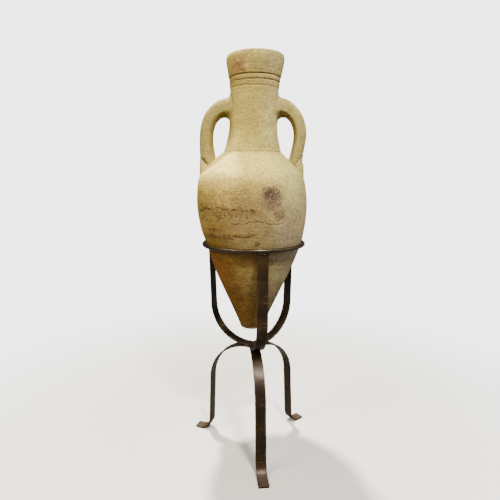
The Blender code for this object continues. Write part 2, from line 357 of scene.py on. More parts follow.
ashSideWithShade = [
    (0.37, 0.21, 0.15, 0.07), (0.4, 0.22, 0.15, 0.065), (0.46, 0.265, 0.19, 0.09),
    (0.5, 0.335, 0.26, 0.125), (0.54, 0.44, 0.36, 0.18), (0.575, 0.36, 0.28, 0.15),
    (0.605, 0.335, 0.27, 0.175), (0.64, 0.345, 0.275, 0.15), (0.68, 0.385, 0.305, 0.155),
    (0.74, 0.435, 0.355, 0.155), (0.78, 0.505, 0.44, 0.155), (0.82, 0.56, 0.495, 0.155),
    (0.85, 0.54, 0.47, 0.155), (0.87, 0.435, 0.375, 0.12), (0.94, 0.425, 0.37, 0.13),
    (1.0, 0.395, 0.33, 0.115), (1.05, 0.38, 0.295, 0.115), (1.12, 0.375, 0.32, 0.125),
]


clayFinish = {
    "clouds": 0.16,     # broad light and dark, as a share of the colour
    "mottle": 0.22,
    "rings": 0.1,       # streaks left by the wheel
    "tooth": 0.44,      # coarse grain of the clay
    "grain": 0.3,
    "pits": 0.84,
    "leastPits": 0.28,  # as a share of the grittiest part
    "shine": 0.22,
    "roughness": 0.68,
    "relief": 0.0011,
    "leftHandle": (0.315, 0.255, 0.074, 1.0),
    "rightHandle": (0.33, 0.268, 0.088, 1.0),
    "pitColour": (0.095, 0.05, 0.018, 1.0),
    # colour of the painted shade in grooves and corners
    "paintedShadeColour": (0.115, 0.062, 0.02, 1.0),
    "crackColour": (0.05, 0.026, 0.01, 1.0),
}
clayNoises = [  # stretch, shift, scale, detail, roughness
    ((1, 1, 1), (0, 0, 0), 9.0, 5.0, 0.6),          # clouds
    ((1, 1, 1.6), (3.1, 0, 0), 34.0, 6.0, 0.68),    # patches
    ((7, 7, 95), (0, 0, 0), 1.0, 5.0, 0.7),         # rings
    ((22, 22, 330), (0.4, 0, 0), 1.0, 4.0, 0.7),    # fine rings
    ((1, 1, 1.25), (0, 1.7, 0), 150.0, 4.0, 0.75),  # tooth
    ((1, 1, 1), (0, 0, 0), 300.0, 5.0, 0.8),        # grain
    ((1, 1, 1), (0, 0, 0), 255.0, 3.0, 0.7),        # specks
    ((1, 1, 1), (5.3, 0, 0), 125.0, 4.0, 0.7),      # blots
]
clayZones = {  # where each begins and where it is full
    "neck": (0.86, 0.9),
    "cone": (0.62, 0.4),
    "scraped": (0.72, 0.64),
    "gritFromBelow": (0.66, 0.7),
    "gritFromAbove": (0.805, 0.765),
    "gritFromRight": (0.06, -0.05),
    "smokedToFront": (-0.105, -0.015),
    "frontToAsh": (0.015, 0.095),
    "leftToRight": (-0.05, 0.05),
}


def crackMask(nodes, turn, z, wander, breaks, crack):
    # a crack that runs round the body, where its path gives height by turn
    low, high = crack["span"]
    given = nodes.math("DIVIDE", nodes.plus(turn, 180.0), 180.0)
    path = nodes.add("ShaderNodeFloatCurve", {"Value": given})
    curve = path.mapping.curves[0]
    points = [((degrees + 180) / 180, (height - low) / (high - low)) for degrees, height in crack["path"]]
    curve.points[0].location = points[0]
    curve.points[1].location = points[-1]
    for place in points[1:-1]:
        curve.points.new(*place)
    path.mapping.update()
    level = nodes.plus(nodes.times(path.outputs[0], high - low), low)
    level = nodes.plus(level, nodes.times(nodes.minus(wander, 0.5), crack["wander"]))
    away = nodes.math("ABSOLUTE", nodes.minus(z, level))
    line = nodes.band(away, crack["width"], crack["width"] * 0.3)
    line = nodes.times(line, nodes.band(breaks, crack["open"] + 0.05, crack["open"] - 0.03))
    first, last = crack["path"][0][0], crack["path"][-1][0]
    fade = 4  # degrees over which an end closes
    ends = nodes.times(nodes.band(turn, first, first + fade), nodes.band(turn, last, last - fade))
    return nodes.times(line, ends)


def clayMaterial(name, handlePart=False, cracked=False):
    material, nodes, shader = newMaterial(name)
    place = objectPlace(nodes)
    x, y, z = nodes.axes(place)
    cloud, patch, rings, fineRings, tooth, grain, speck, blot = [
        nodes.noise(nodes.stretch(place, grow, shift), *rest) for grow, shift, *rest in clayNoises]

    # colour by height, smoked on one side and ashy on the other, with light and shade painted in by height
    # and side and a painted shadow under the ring
    level = nodes.plus(z, nodes.times(nodes.minus(cloud, 0.5), 0.05))
    height = nodes.band(level, clay["lowest"], clay["highest"], soft=False)
    span = clay["highest"] - clay["lowest"]
    smokedWithShade, front, ashWithShade = [nodes.ramp(height, [((h - clay["lowest"]) / span, (*c, 1.0)) for h, *c in side])
                          for side in (smokedSideWithShade, frontColoursWithShade, ashSideWithShade)]
    # neck and cone are slimmer than the belly, so the sides draw together there
    drift = nodes.plus(x, nodes.times(nodes.minus(patch, 0.5), 0.07))
    neck = nodes.band(z, *clayZones["neck"])
    cone = nodes.band(z, *clayZones["cone"], soft=False)
    drift = nodes.times(drift, nodes.plus(nodes.times(neck, 0.9), 1.0))
    drift = nodes.times(drift, nodes.plus(nodes.times(cone, 1.2), 1.0))
    colour = nodes.mix(nodes.band(drift, *clayZones["smokedToFront"]), smokedWithShade, front)
    colour = nodes.mix(nodes.band(drift, *clayZones["frontToAsh"]), colour, ashWithShade)
    if handlePart:
        right = nodes.band(x, *clayZones["leftToRight"])
        browned = nodes.mix(right, clayFinish["leftHandle"], clayFinish["rightHandle"])
        colour = nodes.mix(nodes.layer("smear"), browned, nodes.mix(0.45, colour, browned))

    # clouds, mottling, streaks of the wheel, grain; the scraped lower body shows its rings more
    scraped = nodes.band(z, *clayZones["scraped"])
    ringPower = nodes.plus(nodes.times(scraped, clayFinish["rings"]), clayFinish["rings"])
    if handlePart:
        ringPower = 0.02
    shade = nodes.swing(cloud, clayFinish["clouds"])
    for layer, power in ((patch, clayFinish["mottle"]), (rings, ringPower),
                         (fineRings, nodes.times(ringPower, 0.8)), (tooth, clayFinish["tooth"]),
                         (grain, clayFinish["grain"])):
        shade = nodes.times(shade, nodes.swing(layer, power))
    colour = nodes.scaled(colour, nodes.most(shade, 0.2))

    # grit pulled out of the belly, round the stain and low on the ashy side
    zone = nodes.times(nodes.band(z, *clayZones["gritFromBelow"]), nodes.band(z, *clayZones["gritFromAbove"]))
    zone = nodes.times(zone, nodes.band(x, *clayZones["gritFromRight"]))
    for middle, size, strength in pitZones:
        zone = nodes.most(zone, nodes.times(nodes.spot(place, middle, size, 0.3), strength))
    zone = nodes.most(nodes.times(zone, nodes.band(patch, 0.3, 0.52)), clayFinish["leastPits"])
    small = nodes.band(nodes.plus(speck, nodes.times(zone, 0.125)), 0.65, 0.705)
    large = nodes.band(nodes.plus(blot, nodes.times(zone, 0.085)), 0.69, 0.74)
    pits = nodes.most(small, large)
    colour = nodes.mix(nodes.times(pits, clayFinish["pits"]), colour, clayFinish["pitColour"])

    # stains soaked in here and there, with ragged edges, and one patch of painted shade on the neck's left
    # flank under the left handle
    if not handlePart:
        fuzz = nodes.add("ShaderNodeTexNoise", {"Vector": place, "Scale": 62.0, "Detail": 6.0,
                                                "Roughness": 0.75}).outputs["Color"]
        fuzz = nodes.scaled(nodes.vector("SUBTRACT", fuzz, (0.5, 0.5, 0.5)), 0.045)
        ragged = nodes.vector("ADD", place, fuzz)
        broken = nodes.band(nodes.plus(nodes.times(blot, 0.5), nodes.times(speck, 0.5)), 0.34, 0.52)
        for middle, size, strength, markColour in stainsAndShade:
            mask = nodes.times(nodes.spot(ragged, middle, size, 0.25), broken)
            colour = nodes.mix(nodes.times(mask, strength), colour, (*markColour, 1.0))

    # kept on the mesh: chips in one layer, painted shade in grooves and corners in another
    crack = nodes.layer("crack")
    if cracked:
        turn = nodes.math("DEGREES", nodes.math("ARCTAN2", y, nodes.plus(x, clay["bellyShift"])))
        for line in cracks:
            crack = nodes.most(crack, crackMask(nodes, turn, z, patch, blot, line))
    # painted shade in grooves and corners, broken up by specks
    paintedShadeMask = nodes.times(nodes.layer("paintedShade"), nodes.band(speck, 0.18, 0.52), clamp=True)
    colour = nodes.mix(paintedShadeMask, colour, clayFinish["paintedShadeColour"])
    colour = nodes.mix(nodes.times(crack, 0.8), colour, clayFinish["crackColour"])
    nodes.put(shader.inputs["Base Color"], colour)
    shader.inputs["Specular IOR Level"].default_value = clayFinish["shine"]
    nodes.put(shader.inputs["Roughness"], nodes.plus(nodes.times(patch, 0.24), clayFinish["roughness"]))
    nodes.put(shader.inputs["Normal"], nodes.relief(0.7, clayFinish["relief"], (grain, 0.45), (tooth, 0.9),
                                                    (fineRings, 0.45), (pits, -0.9), (crack, -1.0)))
    return material


pitZones = [  # middle, size, strength
    ((0.046, -0.142, 0.752), (0.052, 0.06, 0.046), 1.0),
    ((0.068, -0.134, 0.708), (0.034, 0.06, 0.026), 1.0),
    ((0.105, -0.095, 0.7), (0.05, 0.07, 0.06), 0.75),
    ((-0.02, -0.14, 0.69), (0.12, 0.09, 0.05), 0.55),
    ((0.06, -0.12, 0.64), (0.08, 0.09, 0.03), 0.6),
    ((0.04, -0.13, 0.79), (0.07, 0.09, 0.03), 0.4),
]
stainsAndShade = [  # middle, size, strength, colour
    ((0.045, -0.142, 0.757), (0.044, 0.06, 0.04), 0.85, (0.15, 0.098, 0.066)),
    ((0.043, -0.142, 0.76), (0.03, 0.06, 0.027), 0.9, (0.072, 0.047, 0.036)),
    ((0.052, -0.138, 0.735), (0.036, 0.06, 0.028), 0.55, (0.15, 0.098, 0.062)),
    ((0.066, -0.134, 0.708), (0.022, 0.06, 0.016), 0.65, (0.16, 0.09, 0.05)),
    ((-0.02, -0.145, 0.656), (0.085, 0.06, 0.007), 0.7, (0.2, 0.105, 0.032)),
    ((-0.058, -0.132, 0.651), (0.036, 0.05, 0.006), 0.85, (0.12, 0.058, 0.018)),
    ((-0.032, -0.14, 0.649), (0.026, 0.05, 0.005), 0.75, (0.13, 0.064, 0.02)),
    ((0.008, -0.139, 0.634), (0.011, 0.03, 0.01), 0.95, (0.075, 0.036, 0.013)),
    ((-0.106, -0.105, 0.668), (0.03, 0.06, 0.006), 0.8, (0.12, 0.056, 0.016)),
    ((-0.105, -0.098, 0.648), (0.045, 0.06, 0.01), 0.8, (0.12, 0.056, 0.016)),
    ((0.1, -0.09, 0.645), (0.03, 0.06, 0.007), 0.6, (0.18, 0.105, 0.06)),
    ((-0.088, -0.127, 0.7), (0.011, 0.05, 0.01), 0.9, (0.12, 0.064, 0.02)),
    ((-0.055, -0.13, 0.713), (0.11, 0.07, 0.012), 0.6, (0.17, 0.1, 0.034)),
    ((-0.038, -0.062, 1.088), (0.027, 0.05, 0.02), 0.9, (0.22, 0.095, 0.036)),
    ((-0.04, -0.06, 1.094), (0.01, 0.03, 0.008), 0.7, (0.62, 0.4, 0.2)),
    ((-0.018, -0.068, 1.079), (0.009, 0.03, 0.006), 0.7, (0.6, 0.4, 0.19)),
    ((-0.029, -0.064, 1.0705), (0.016, 0.03, 0.0034), 0.85, (0.11, 0.052, 0.018)),
    # painted shade on the neck's left flank, under the left handle
    ((-0.066, -0.02, 0.925), (0.022, 0.07, 0.048), 0.6, (0.2, 0.135, 0.052)),
]

# the amphora's outside, as radius and height
toeSide = [(0.0, 0.37), (0.028, 0.3694), (0.0318, 0.3702), (0.0336, 0.3722), (0.0352, 0.3762),
           (0.034, 0.3785), (0.036, 0.3806), (0.0398, 0.389), (0.0437, 0.3987)]
bodySide = [(0.0437, 0.3987), (0.0576, 0.43), (0.0802, 0.48), (0.1025, 0.53), (0.12, 0.575),
            (0.134, 0.6186), (0.1395, 0.636), (0.1455, 0.66), (0.1505, 0.69), (0.1527, 0.715),
            (0.1532, 0.74), (0.1508, 0.77), (0.1477, 0.79), (0.1445, 0.801), (0.1395, 0.811),
            (0.1325, 0.82), (0.125, 0.8275), (0.1165, 0.836), (0.108, 0.8445), (0.1, 0.852),
            (0.092, 0.859), (0.0855, 0.8645), (0.08, 0.869)]
neckSide = [(0.0795, 0.8691), (0.0747, 0.885), (0.069, 0.908), (0.0658, 0.93), (0.0646, 0.955),
            (0.064, 0.985), (0.0645, 1.01), (0.0654, 1.03)]
neckGrooves = [(0.0654, 1.0305), (0.0653, 1.0325), (0.0648, 1.0338), (0.0655, 1.0352), (0.0663, 1.0375),
               (0.067, 1.042), (0.0672, 1.0462), (0.0669, 1.0474), (0.0655, 1.0484), (0.0655, 1.0492),
               (0.0668, 1.0502), (0.0677, 1.052), (0.0685, 1.0565), (0.0687, 1.0592), (0.0683, 1.0604),
               (0.0668, 1.0614)]
rimSide = [(0.0668, 1.0616), (0.0672, 1.0624), (0.0694, 1.0634), (0.0703, 1.0652), (0.0712, 1.069),
           (0.0728, 1.0775), (0.0745, 1.086), (0.0763, 1.096), (0.0776, 1.1045), (0.0777, 1.1095),
           (0.077, 1.114), (0.0757, 1.117), (0.0736, 1.1187), (0.0708, 1.119), (0.0682, 1.1182),
           (0.0664, 1.1155), (0.0652, 1.11), (0.0618, 1.085), (0.0585, 1.0616)]
axisHeights = [0.369, 0.53, 0.6, 0.63, 0.66, 0.75, 0.835, 0.869, 0.89, 1.119]
axisDrift = [-0.0055, -0.0027, 0.0, 0.0, -0.0022, -0.005, -0.0068, -0.004, -0.002, 0.0062]
axisFine = smoothLine(list(zip(axisHeights, axisDrift)), 6)
outside = np.vstack([smoothLine(toeSide, 4), smoothLine(bodySide, 8), smoothLine(neckSide, 6), neckGrooves,
                     smoothLine(rimSide[:10], 3)])


def driftAt(height):
    return np.interp(height, axisFine[:, 0], axisFine[:, 1])


def radiusAt(height):
    return np.interp(height, outside[:, 1], outside[:, 0])


def wheelTree():
    # potter's wheel: turns a profile round the axis, with rings and wobble
    tree, nodes, given = newTree("pottersWheel", "Profile", [
        ("Round Steps", "Int", 300), ("Ridge Height", "Float", 0.0002), ("Ridge Pitch", "Float", 0.008),
        ("Wobble", "Float", 0.0005), ("Seed", "Float", 4.0)], "Clay", "Shell")
    size = nodes.add("GeometryNodeAttributeDomainSize", {"Geometry": given["Profile"]})
    count = size.outputs["Point Count"]
    columns = nodes.plus(given["Round Steps"], 1)
    grid = nodes.add("GeometryNodeMeshGrid", {"Size X": 1.0, "Size Y": 1.0, "Vertices X": columns,
                                              "Vertices Y": count}).outputs["Mesh"]
    here = nodes.axes(nodes.add("GeometryNodeInputPosition").outputs[0])
    turn = nodes.times(nodes.plus(here[0], 0.5), 2 * math.pi)
    row = nodes.math("ROUND", nodes.times(nodes.plus(here[1], 0.5), nodes.minus(count, 1)))
    profile = nodes.add("GeometryNodeSampleIndex", {"Geometry": given["Profile"], "Index": row},
                        data_type="FLOAT_VECTOR", domain="POINT")
    nodes.put(profile.inputs["Value"], nodes.add("GeometryNodeInputPosition").outputs[0])
    side = nodes.axes(profile.outputs[0])
    turnX = nodes.math("COSINE", turn)
    turnY = nodes.math("SINE", turn)
    true = nodes.joined(nodes.times(side[0], turnX), nodes.times(side[0], turnY), side[2])
    slow, fade = [nodes.add("ShaderNodeTexNoise", {"Vector": true, "W": given["Seed"], "Scale": scale,
                                                   "Detail": detail}, noise_dimensions="4D").outputs["Fac"]
                  for scale, detail in ((9.0, 2.0), (22.0, 1.0))]
    spiral = nodes.math("DIVIDE", turn, 2 * math.pi)
    phase = nodes.plus(nodes.math("DIVIDE", side[2], given["Ridge Pitch"]), spiral)
    wave = nodes.math("SINE", nodes.times(nodes.plus(phase, nodes.times(fade, 0.8)), 2 * math.pi))
    rings = nodes.times(nodes.times(wave, fade), given["Ridge Height"])
    push = nodes.plus(rings, nodes.times(nodes.minus(slow, 0.5), given["Wobble"]))
    push = nodes.times(push, nodes.math("MINIMUM", nodes.times(side[0], 40.0), 1.0))
    place = nodes.vector("ADD", true, nodes.joined(nodes.times(push, turnX), nodes.times(push, turnY)))
    moved = nodes.add("GeometryNodeSetPosition", {"Geometry": grid, "Position": place}).outputs[0]
    closed = nodes.add("GeometryNodeMergeByDistance", {"Geometry": moved, "Distance": 0.00001}).outputs[0]
    endTree(nodes, closed, given["Clay"])
    return tree


def turned(name, side, material, closed=True):
    # a clay ring from its side, drawn up the outside and down the inside
    if closed:
        side = np.vstack([side, side[:1]])
    mesh = runTree(name, [(r, 0.0, h) for r, h in side], wheel, {
        "Round Steps": clay["roundSteps"], "Ridge Height": clay["ridge"], "Ridge Pitch": clay["ridgePitch"],
        "Wobble": clay["wobble"], "Clay": material})
    faceOutward(mesh)
    points = getPoints(mesh)
    points[:, 0] += driftAt(points[:, 2])
    setPoints(mesh, points)
    return mesh


def between(line, low, high):
    return line[(line[:, 1] >= low - 1e-6) & (line[:, 1] <= high + 1e-6)]


chips = [  # small losses in the clay: where, how wide, how deep, how dark
    {"at": (-0.0828, -0.1305, 0.7556), "radius": 0.003, "depth": 0.0012, "dark": 0.9},
    {"at": (-0.0925, -0.1225, 0.703), "radius": 0.006, "depth": 0.0008, "dark": 0.5},
    {"at": (-0.016, -0.0779, 0.8722), "radius": 0.0022, "depth": 0.0012, "dark": 1.0},
    {"at": (0.0029, -0.137, 0.637), "radius": 0.0036, "depth": 0.0007, "dark": 0.7},
    {"at": (-0.135, -0.0225, 0.847), "radius": 0.0085, "depth": 0.0026, "dark": 1.0},
    {"at": (-0.1295, -0.024, 0.8415), "radius": 0.007, "depth": 0.0022, "dark": 1.0},
    {"at": (0.1326, -0.0192, 0.9044), "radius": 0.003, "depth": 0.0009, "dark": 0.9},
    {"at": (-0.0384, -0.0527, 0.9425), "radius": 0.0024, "depth": 0.0008, "dark": 0.9},
]
cracks = [  # turn in degrees and height along each path; a share of it is open
    {"path": [(-158, 0.719), (-150, 0.715), (-140, 0.7225), (-132, 0.7185), (-124, 0.7255), (-114, 0.7205),
              (-104, 0.7215), (-94, 0.7165), (-84, 0.7175)],
     "span": (0.7, 0.74), "width": 0.0038, "wander": 0.034, "open": 0.49, "depth": 0.0006},
    {"path": [(-110, 0.685), (-99, 0.684), (-95, 0.6875), (-87, 0.6925), (-79, 0.69), (-72, 0.685),
              (-66, 0.683), (-60, 0.687), (-55, 0.696)],
     "span": (0.67, 0.7), "width": 0.0016, "wander": 0.014, "open": 0.53, "depth": 0.0006},
    {"path": [(-70, 0.6835), (-64, 0.693), (-60, 0.701), (-56, 0.706)],
     "span": (0.67, 0.71), "width": 0.002, "wander": 0.01, "open": 0.53, "depth": 0.0005},
    {"path": [(-118, 0.656), (-108, 0.6545), (-100, 0.651), (-90, 0.6575), (-84, 0.659)],
     "span": (0.64, 0.67), "width": 0.0024, "wander": 0.012, "open": 0.5, "depth": 0.0005},
]


# painted shade in the grooves of the toe and neck and at the neck's foot
paintedShadeLevels = [  # height, reach, strength at the middle and at the sides
    (0.3785, 0.003, 1.0, 1.0),
    (1.0338, 0.0012, 0.15, 0.5),
    (1.0488, 0.0016, 0.95, 1.0),
    (1.0616, 0.0016, 0.7, 1.0),
    (0.8691, 0.0024, 0.95, 0.6),
]


def wear(mesh, handlePart=False):
    # cuts the chips and cracks in, and notes where the chips are and where shade is painted
    points = getPoints(mesh)
    normals = getNormals(mesh)
    crack = np.zeros(len(points))
    paintedShade = np.zeros(len(points))
    sunk = np.zeros(len(points))
    for chip in chips:
        near = np.linalg.norm(points - np.array(chip["at"]), axis=1)
        close = near < chip["radius"] * 1.6
        if close.any():
            rough = softNoise(points[close], 420, 3) * 0.35 + 1
            cut = bump01(near[close] * rough, chip["radius"])
            sunk[close] += cut * chip["depth"]
            crack[close] = np.maximum(crack[close], cut * chip["dark"])
    if not handlePart:
        height = points[:, 2]
        across = points[:, 0] - driftAt(height)
        turn = np.degrees(np.arctan2(points[:, 1], across))
        outer = np.hypot(across, points[:, 1]) > radiusAt(height) - 0.003
        for line in cracks:
            path = np.array(line["path"])
            level = np.interp(turn, path[:, 0], path[:, 1])
            close = outer & (turn > path[0, 0]) & (turn < path[-1, 0]) & (np.abs(height - level) < 0.006)
            if close.any():
                opened = np.clip((softNoise(points[close], 60, 8) + line["open"]) * 2.2, 0, 1)
                sunk[close] += bump01(height[close] - level[close], line["width"]) * opened * line["depth"]
        # painted shade in the turned grooves and at the neck's foot
        side = np.abs(points[:, 0]) / 0.067
        for level, reach, middle, ends in paintedShadeLevels:
            strength = np.clip(middle + (ends - middle) * side, 0, 1)
            paintedShade = np.maximum(paintedShade, bump01(height - level, reach) * strength * outer)
    setPoints(mesh, points - normals * sunk[:, None])
    paint(mesh, "crack", crack)
    paint(mesh, "paintedShade", paintedShade)
    return mesh


print("turning the clay")
clayToe = clayMaterial("firedClayToe")
clayBody = clayMaterial("firedClayBody", cracked=True)
clayNeck = clayMaterial("firedClayNeck")
clayHandle = clayMaterial("firedClayHandle", handlePart=True)
wheel = wheelTree()


def addClay(name, node, side, material, closed=True):
    return addPiece(name, wear(turned(name, side, material, closed)), material, "amphora", [node])


def hollow(line):
    # the inside of a wall, drawn beside its outside
    return evenLine(line - lineNormals(line) * clay["wall"], clay["insideStep"])


toeLine = evenLine(smoothLine(toeSide, 6), 0.001)
toeTop = np.array([(r, toeSide[-1][1]) for r in (0.036, 0.024, 0.012, 0.0)])
addClay("amphoraToe", "toe", np.vstack([toeLine, toeTop]), clayToe, closed=False)

bodyLine = smoothLine(bodySide, 16)
lowerOut = evenLine(between(bodyLine, clay["toeSeam"], clay["bellySeam"]), clay["step"])
lowerIn = hollow(lowerOut)
lowerIn[0, 1], lowerIn[-1, 1] = lowerOut[0, 1], lowerOut[-1, 1]
addClay("amphoraLowerBody", "lower_body", np.vstack([lowerOut, lowerIn[::-1]]), clayBody)

upperOut = evenLine(between(bodyLine, clay["bellySeam"], clay["neckSeam"]), clay["step"])
upperIn = hollow(upperOut)
upperIn[0, 1] = upperOut[0, 1]
holeEdge = [(clay["neckHole"], clay["neckSeam"] - 0.009), (clay["neckHole"], clay["neckSeam"])]
upperIn = np.vstack([upperIn[upperIn[:, 0] > clay["neckHole"] + 0.0015], holeEdge])
addClay("amphoraUpperBody", "upper_body", np.vstack([upperOut, upperIn[::-1]]), clayBody)

neckOut = np.vstack([evenLine(smoothLine(neckSide, 8), 0.002), evenLine(neckGrooves, 0.0006)])
neckIn = [(r - clay["wall"], h) for r, h in neckSide] + [(0.0577, clay["collarSeam"])]
neckIn = evenLine(neckIn, clay["insideStep"])
addClay("amphoraNeck", "neck", np.vstack([neckOut, neckIn[::-1]]), clayNeck)
addClay("amphoraRim", "rim_collar", evenLine(smoothLine(rimSide, 6), 0.0012), clayNeck)


# handles

# each station: place across, height, half thickness, half width
# each lap: the edge of the clay smeared over the foot
handles = {
    "left": {
        "centre": [
            (-0.05, 0.991, 0.0245, 0.0262), (-0.068, 0.99, 0.0238, 0.025),
            (-0.088, 0.9848, 0.0226, 0.0232), (-0.1045, 0.9735, 0.0208, 0.0219),
            (-0.1178, 0.956, 0.0196, 0.0211), (-0.1255, 0.933, 0.019, 0.0207),
            (-0.1285, 0.908, 0.0188, 0.0205), (-0.1285, 0.885, 0.0195, 0.0211),
            (-0.127, 0.866, 0.0208, 0.0223), (-0.125, 0.847, 0.0218, 0.0237),
            (-0.1232, 0.827, 0.025, 0.025), (-0.12, 0.805, 0.0278, 0.0262),
            (-0.116, 0.785, 0.029, 0.027),
        ],
        "lap": [(-0.114, 0.827), (-0.1227, 0.833), (-0.13, 0.8415), (-0.1388, 0.8507), (-0.153, 0.864)],
        "facet": 0.55,
        "node": "handle_left",
    },
    "right": {
        "centre": [
            (0.056, 0.9905, 0.024, 0.026), (0.075, 0.989, 0.0232, 0.0248),
            (0.093, 0.982, 0.0216, 0.0229), (0.1085, 0.969, 0.0196, 0.0212),
            (0.1195, 0.9515, 0.0186, 0.0204), (0.1258, 0.9315, 0.018, 0.02),
            (0.127, 0.91, 0.0174, 0.0197), (0.124, 0.888, 0.0172, 0.02),
            (0.1195, 0.867, 0.0176, 0.0208), (0.1155, 0.848, 0.0186, 0.0224),
            (0.1148, 0.828, 0.023, 0.0238), (0.112, 0.806, 0.0262, 0.0252),
            (0.1085, 0.786, 0.0285, 0.0262),
        ],
        "lap": [(0.103, 0.826), (0.1118, 0.8322), (0.119, 0.842), (0.1276, 0.853), (0.14, 0.868)],
        "facet": 1.0,
        "node": "handle_right",
    },
}
strap = {
    "roundSteps": 96,
    "lengthSteps": 165,
    "square": 2.5,         # 2 is an oval, more is squarer
    "ridgeAngle": 2.02,    # from the outer face of the loop, in radians
    "facetAngle": 2.62,
    "topFillet": 0.013,
    "underFillet": 0.011,  # more on the inside of the loop
    "footFillet": 0.0024,
    "sink": 0.0014,        # how far its ends go into the body
    "lapDepth": 0.002,
    "lapWidth": 0.0027,
    "smearRise": 0.0013,
    "smearEdge": 0.0014,
}


def insideBody(point):
    # below zero inside the clay body's outside
    return math.hypot(point[0] - float(driftAt(point[2])), point[1]) - float(radiusAt(point[2]))


def bodySlope(point):
    # how fast that grows along each axis
    step = 0.0005
    ways = np.eye(3) * step
    return np.array([insideBody(point + way) - insideBody(point - way) for way in ways]) / (2 * step)


def strapLines(spec):
    # the strap's lengthwise lines, one for each step round its section
    line = evenLine(smoothLine(spec["centre"], 12), 0.001)
    out = lineNormals(line)
    if out[len(out) // 2, 0] * spec["centre"][0][0] < 0:
        out = -out
    lines = []
    for k in range(strap["roundSteps"]):
        angle = 2 * math.pi * k / strap["roundSteps"]
        c, s = math.cos(angle), math.sin(angle)
        reach = (abs(c) ** strap["square"] + abs(s) ** strap["square"]) ** (-1 / strap["square"])
        # a pinched ridge towards the inside of the loop, and a flatter facet beyond it
        fromRidge, fromFacet = [min(abs(angle - at), abs(2 * math.pi - angle - at))
                                for at in (strap["ridgeAngle"], strap["facetAngle"])]
        ridge = 0.055 * math.exp(-fromRidge ** 2 / 0.018)
        facet = 0.085 * math.exp(-fromFacet ** 2 / 0.12)
        pinch = 1 + spec["facet"] * (ridge - facet)
        across = line[:, 2] * c * reach * pinch
        wide = line[:, 3] * s * reach * pinch
        place = line[:, :2] + out * across[:, None]
        lines.append(np.column_stack([place[:, 0], wide, place[:, 1]]))
    return lines


def spread(enter, axisPoint, fillet):
    # a point on the body's surface, further from the strap's axis
    away = enter - axisPoint
    away /= np.linalg.norm(away)
    slope = bodySlope(enter)
    normal = slope / np.linalg.norm(slope)
    slide = away - normal * away.dot(normal)
    slide /= np.linalg.norm(slide)
    target = enter + slide * fillet
    for _ in range(4):
        slope = bodySlope(target)
        target = target - slope * insideBody(target) / slope.dot(slope)
    return target, normal


def flareEnd(path, axis, fillet):
    # where a lengthwise line leaves the body, how many of its steps the flare takes, and the flare's edge
    start = next(i for i, p in enumerate(path) if insideBody(p) > 0)
    a, b = path[start - 1], path[start]
    fa, fb = insideBody(a), insideBody(b)
    enter = a + (b - a) * (fa / (fa - fb))
    along = np.cumsum(np.linalg.norm(np.diff(np.vstack([enter, path[start:]]), axis=0), axis=1))
    lift = start + int(np.searchsorted(along, fillet))
    edge, normal = spread(enter, axis[np.argmin(np.linalg.norm(axis - enter, axis=1))], fillet)
    return enter, lift, edge, edge - normal * strap["sink"]


def flareCurve(a, b, c, count):
    return [a * (1 - t) ** 2 + b * 2 * t * (1 - t) + c * t ** 2 for t in np.linspace(0, 1, count)]


def makeHandle(name, spec, material):
    lines = strapLines(spec)
    axis = np.mean(lines, axis=0)
    columns = []
    for k, path in enumerate(lines):
        under = max(0.0, -math.cos(2 * math.pi * k / strap["roundSteps"]))  # 1 on the inside of the loop
        topFillet = strap["topFillet"] + strap["underFillet"] * under
        enterTop, liftTop, top, topSunk = flareEnd(path, axis, topFillet)
        enterFoot, liftFoot, foot, footSunk = flareEnd(path[::-1], axis, strap["footFillet"])
        free = path[liftTop:len(path) - liftFoot]
        pick = np.linspace(0, len(free) - 1, strap["lengthSteps"])
        free = np.column_stack([np.interp(pick, np.arange(len(free)), free[:, k]) for k in range(3)])
        columns.append([topSunk] + flareCurve(top, enterTop, free[0], 9)[:-1] + list(free)
                       + flareCurve(free[-1], enterFoot, foot, 6)[1:] + [footSunk])
    mesh = skin(name, np.array(columns).transpose(1, 0, 2))
    points = getPoints(mesh)
    normals = getNormals(mesh)
    uneven = softNoise(points, 38, 11) * 0.0006 + softNoise(points, 120, 12) * 0.00018
    points = points + normals * uneven[:, None]

    # clay smeared over the foot: its edge is a lap that runs up and outwards from the point of a V
    side = math.copysign(1.0, spec["centre"][0][0])
    out = points[:, 0] * side
    lap = smoothLine(spec["lap"], 10)
    lapHeight = np.interp(out, lap[:, 0] * side, lap[:, 1])
    ragged = softNoise(points, 150, 14) * 0.0007
    below = lapHeight - points[:, 2] + ragged  # above zero in the smeared clay
    beyond = out > lap[0, 0] * side
    smear = np.clip(below / strap["smearEdge"], 0, 1) * beyond
    groove = bump01(below, strap["lapWidth"]) * beyond
    setPoints(mesh, points + normals * (smear * strap["smearRise"] - groove * strap["lapDepth"])[:, None])
    wear(mesh, handlePart=True)
    paint(mesh, "smear", smear)

    # painted shade in the lap's groove, in the corner on the shoulder, on the inside of the loop and under
    # its top
    height = points[:, 2]
    corner = np.array([insideBody(p) for p in points])
    corner = bump01(corner, 0.0042) * (height < 0.87) * (1 - smear)
    inner = np.clip(-normals[:, 0] * side - 0.25, 0, 1) * np.clip((height - 0.84) / 0.06, 0, 1)
    under = np.clip(-normals[:, 2] - 0.1, 0, 1) * (height > 0.93)
    paintedShade = np.max([groove * 0.95, corner * 0.95, inner * 0.8, under * 0.95], axis=0)
    mesh.attributes["paintedShade"].data.foreach_set("value", paintedShade.astype(np.float32))
    return addPiece(name, mesh, material, "amphora", [spec["node"]], 50)


print("pulling the handles")
makeHandle("amphoraHandleLeft", handles["left"], clayHandle)
makeHandle("amphoraHandleRight", handles["right"], clayHandle)


# iron

